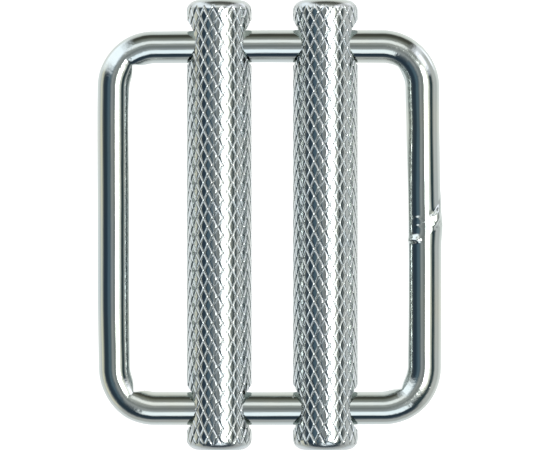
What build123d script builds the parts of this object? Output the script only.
"""Slide buckle: a closed wire frame with two knurled bars threaded on it.

The buckle lies flat. Z is up and z = 0 is the surface that the bars lie on. The bars run along Y, the
frame's cross wires run along X through a hole near each end of each bar, and the origin is below the
middle of the whole buckle. A strap goes round the side legs and over and under the bars, which slide
along the cross wires until they grip it.
"""

import os

from build123d import *

os.makedirs("parts", exist_ok=True)

# Driving dimensions, in millimetres
wire_diameter = 3.0
leg_spacing = 29.2  # between the centre lines of the two side legs
cross_wire_spacing = 34.0  # between the centre lines of the two cross wires
bend_radius = 4.0  # of the wire's centre line at each corner

weld_length = 2.8  # of the bead, along the leg
weld_crest_length = 1.0  # of the bead's highest part
weld_height = 0.2  # of the bead, proud of the wire
weld_place = 0.3  # the bead's middle, up the right leg from the origin

bar_diameter = 6.1  # over the knurl
bar_end_rounding = 1.0
bar_spacing = 9.95  # between the two bars' axes, as they lie in the photograph
bar_pair_place = 0.22  # middle of the pair of bars, to the right of the origin

hole_clearance = 0.2  # all round the wire
hole_rim_rounding = 0.4
top_hole_margin = 4.25  # from the middle of the upper hole to the bar's upper end
bottom_hole_margin = 3.85  # from the middle of the lower hole to the bar's lower end

# Sizes that follow from them
wire_radius = wire_diameter / 2
bar_radius = bar_diameter / 2
bar_length = bottom_hole_margin + cross_wire_spacing + top_hole_margin
hole_radius = wire_radius + hole_clearance
hole_pair_place = (bottom_hole_margin - top_hole_margin) / 2  # their middle, up from the bar's middle
frame_height = bar_radius  # the wire runs through the middle of the bars
frame_middle_x = -weld_height / 2  # the bead stands out on the right, so the frame lies a little left
frame_middle_y = hole_pair_place
right_leg_x = frame_middle_x + leg_spacing / 2
bar_places = {
    "left": bar_pair_place - bar_spacing / 2,
    "right": bar_pair_place + bar_spacing / 2,
}


# The frame is one wire, bent to a rectangle and butt-welded in the middle of the right leg.
with BuildPart() as wire_frame:
    corner_x = leg_spacing / 2
    corner_y = cross_wire_spacing / 2
    with BuildLine(Plane((frame_middle_x, frame_middle_y, frame_height))) as centre_line:
        FilletPolyline(
            (corner_x, corner_y),
            (-corner_x, corner_y),
            (-corner_x, -corner_y),
            (corner_x, -corner_y),
            radius=bend_radius,
            close=True,
        )
    start = Plane(centre_line.line @ 0, z_dir=centre_line.line % 0)
    with BuildSketch(start):
        Circle(wire_radius)
    sweep(path=centre_line.line)

    # The bead is a low barrel round the leg, tapered to the wire at both of its ends.
    with BuildSketch(Plane((right_leg_x, weld_place, frame_height))):
        with BuildLine():
            Polyline(
                (0, -weld_length / 2),
                (wire_radius, -weld_length / 2),
                (wire_radius + weld_height, -weld_crest_length / 2),
                (wire_radius + weld_height, weld_crest_length / 2),
                (wire_radius, weld_length / 2),
                (0, weld_length / 2),
                close=True,
            )
        make_face()
    revolve(axis=Axis((right_leg_x, 0, frame_height), (0, 1, 0)))
wire_frame.part.label = "wire_frame"
export_step(wire_frame.part, "parts/wire_frame.step")


# Each bar is a round rod with rounded ends, drilled across for the two cross wires.
# The rims of the holes are rounded where they come out of the rod.
for side, bar_x in bar_places.items():
    with BuildPart() as bar:
        with BuildSketch(Plane((bar_x, 0, bar_radius), x_dir=(1, 0, 0), z_dir=(0, 1, 0))):
            Circle(bar_radius)
        extrude(amount=bar_length / 2, both=True)
        fillet(bar.edges().filter_by(GeomType.CIRCLE), radius=bar_end_rounding)

        with Locations(Plane((bar_x, hole_pair_place, bar_radius), x_dir=(0, 1, 0), z_dir=(1, 0, 0))):
            with GridLocations(cross_wire_spacing, 0, 2, 1):
                Hole(hole_radius)
        fillet(bar.edges(Select.LAST).filter_by(GeomType.BSPLINE), radius=hole_rim_rounding)
    bar.part.label = f"knurled_bar_{side}"
    export_step(bar.part, f"parts/knurled_bar_{side}.step")
